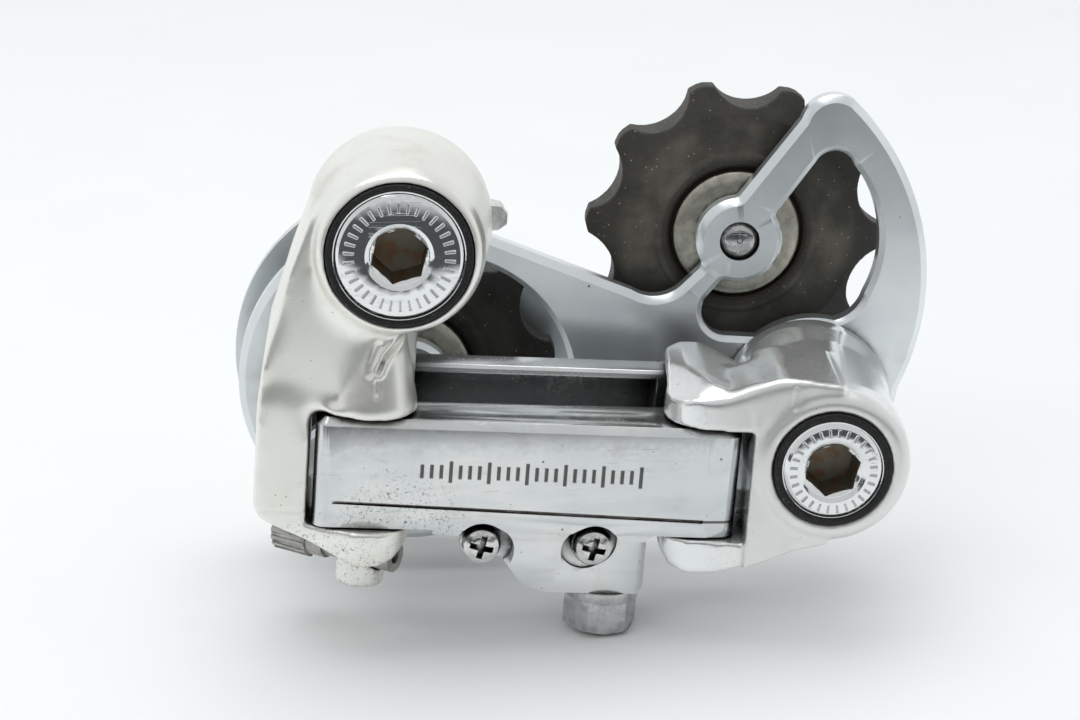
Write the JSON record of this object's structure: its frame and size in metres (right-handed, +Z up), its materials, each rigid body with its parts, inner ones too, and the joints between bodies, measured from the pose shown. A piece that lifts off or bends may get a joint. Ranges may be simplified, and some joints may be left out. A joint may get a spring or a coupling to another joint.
{
  "type": "rear bicycle derailleur",
  "caption": "Rear bicycle derailleur with a polished parallelogram body, two sprung socket-bolt pivots and a short chain cage with toothed guide and tension pulleys.",
  "frame": {"origin": "on the hanger bolt's axis, at the face of the stop plate that seats on the frame's hanger", "axes": "+X from the hanger bolt towards the cage pivot (forwards on the bicycle), +Y inboard along the bolts towards the wheel, +Z up"},
  "size_m": [0.0892, 0.0465, 0.0631],
  "materials": {
    "polished_alloy": "polished, scratched",
    "anodised_alloy": "satin anodised",
    "chrome": "polished",
    "zinc_steel": "zinc plated, worn",
    "pin_steel": "ground",
    "spring_steel": "bright wire",
    "adjuster_alloy": "knurled, dull",
    "bronze": "plain bearing",
    "black_rubber": "matt",
    "dark_resin": "moulded, dusty"
  },
  "bodies": {
    "hanger_mount": {"hanger_bolt": "chrome", "hanger_bolt_seal": "black_rubber", "hanger_stop_plate": "zinc_steel"},
    "hanger_body": {"hanger_knuckle": "polished_alloy", "hanger_bushing": "bronze", "hanger_spring": "spring_steel", "hanger_pin_outer": "pin_steel", "hanger_pin_inner": "pin_steel"},
    "cable_adjuster": {"cable_adjuster": "adjuster_alloy"},
    "outer_link": {"outer_link": "polished_alloy", "cable_anchor_bolt": "zinc_steel", "cable_clamp_washer": "zinc_steel"},
    "limit_screw_high": {"limit_screw_high": "zinc_steel"},
    "limit_screw_low": {"limit_screw_low": "zinc_steel"},
    "inner_link": {"inner_link": "polished_alloy", "link_return_spring": "spring_steel"},
    "cage_body": {"cage_knuckle": "polished_alloy", "cage_pin_outer": "pin_steel", "cage_pin_inner": "pin_steel", "cage_pivot_seal": "black_rubber", "cage_bushing": "bronze", "cage_spring": "spring_steel"},
    "cage": {"cage_pivot_bolt": "chrome", "outer_cage_plate": "anodised_alloy", "inner_cage_plate": "anodised_alloy", "cage_stop_pin": "zinc_steel", "guide_sleeve": "pin_steel", "guide_dust_caps": "zinc_steel", "guide_pulley_bolt": "zinc_steel", "tension_sleeve": "pin_steel", "tension_dust_caps": "zinc_steel", "tension_pulley_bolt": "zinc_steel"},
    "guide_pulley": {"guide_pulley": "dark_resin"},
    "tension_pulley": {"tension_pulley": "dark_resin"}
  },
  "joints": [
    {"name": "hanger_pivot", "type": "hinge", "parent": "hanger_mount", "child": "hanger_body", "pos_m": [0, 0, 0], "axis": [0, -1, 0], "range_deg": [0, 30], "stiffness_Nm_per_rad": 0.8, "springref_deg": -34.38},
    {"name": "adjuster_turn", "type": "hinge", "parent": "hanger_body", "child": "cable_adjuster", "pos_m": [-0.01288, -0.0042, -0.04026], "axis": [0.8643, -0.4989, -0.0635], "range_deg": [-360, 360]},
    {"name": "outer_link_pivot", "type": "hinge", "parent": "hanger_body", "child": "outer_link", "pos_m": [-0.00434, -0.014, -0.02776], "axis": [0.0732, 0, 0.9973], "range_deg": [0, 38], "stiffness_Nm_per_rad": 0.6, "springref_deg": -34.38},
    {"name": "inner_link_pivot", "type": "hinge", "parent": "hanger_body", "child": "inner_link", "pos_m": [-0.0049, -0.0036, -0.02571], "axis": [0.0732, 0, 0.9973], "range_deg": [0, 38]},
    {"name": "cage_knuckle_pivot", "type": "hinge", "parent": "outer_link", "child": "cage_body", "pos_m": [0.03595, -0.0114, -0.03072], "axis": [0.0732, 0, 0.9973], "range_deg": [-38, 0]},
    {"name": "high_screw_turn", "type": "hinge", "parent": "outer_link", "child": "limit_screw_high", "pos_m": [0.00904, -0.01309, -0.03756], "axis": [-0.0641, 0.9979, 0.0047], "range_deg": [-360, 360]},
    {"name": "low_screw_turn", "type": "hinge", "parent": "outer_link", "child": "limit_screw_low", "pos_m": [0.02269, -0.01221, -0.03846], "axis": [-0.0641, 0.9979, 0.0047], "range_deg": [-360, 360]},
    {"name": "cage_pivot", "type": "hinge", "parent": "cage_body", "child": "cage", "pos_m": [0.05158, 0, -0.0281], "axis": [0, -1, 0], "range_deg": [0, 110], "stiffness_Nm_per_rad": 0.2, "springref_deg": -68.75},
    {"name": "guide_spin", "type": "hinge", "parent": "cage", "child": "guide_pulley", "pos_m": [0.043, 0.0164, -0.0072], "axis": [0, -1, 0], "continuous": true},
    {"name": "tension_spin", "type": "hinge", "parent": "cage", "child": "tension_pulley", "pos_m": [0.0008, 0.0164, -0.0254], "axis": [0, -1, 0], "continuous": true}
  ],
  "couplings": [
    {"joint": "inner_link_pivot", "follows": "outer_link_pivot", "ratio": 1},
    {"joint": "cage_knuckle_pivot", "follows": "outer_link_pivot", "ratio": -1}
  ]
}
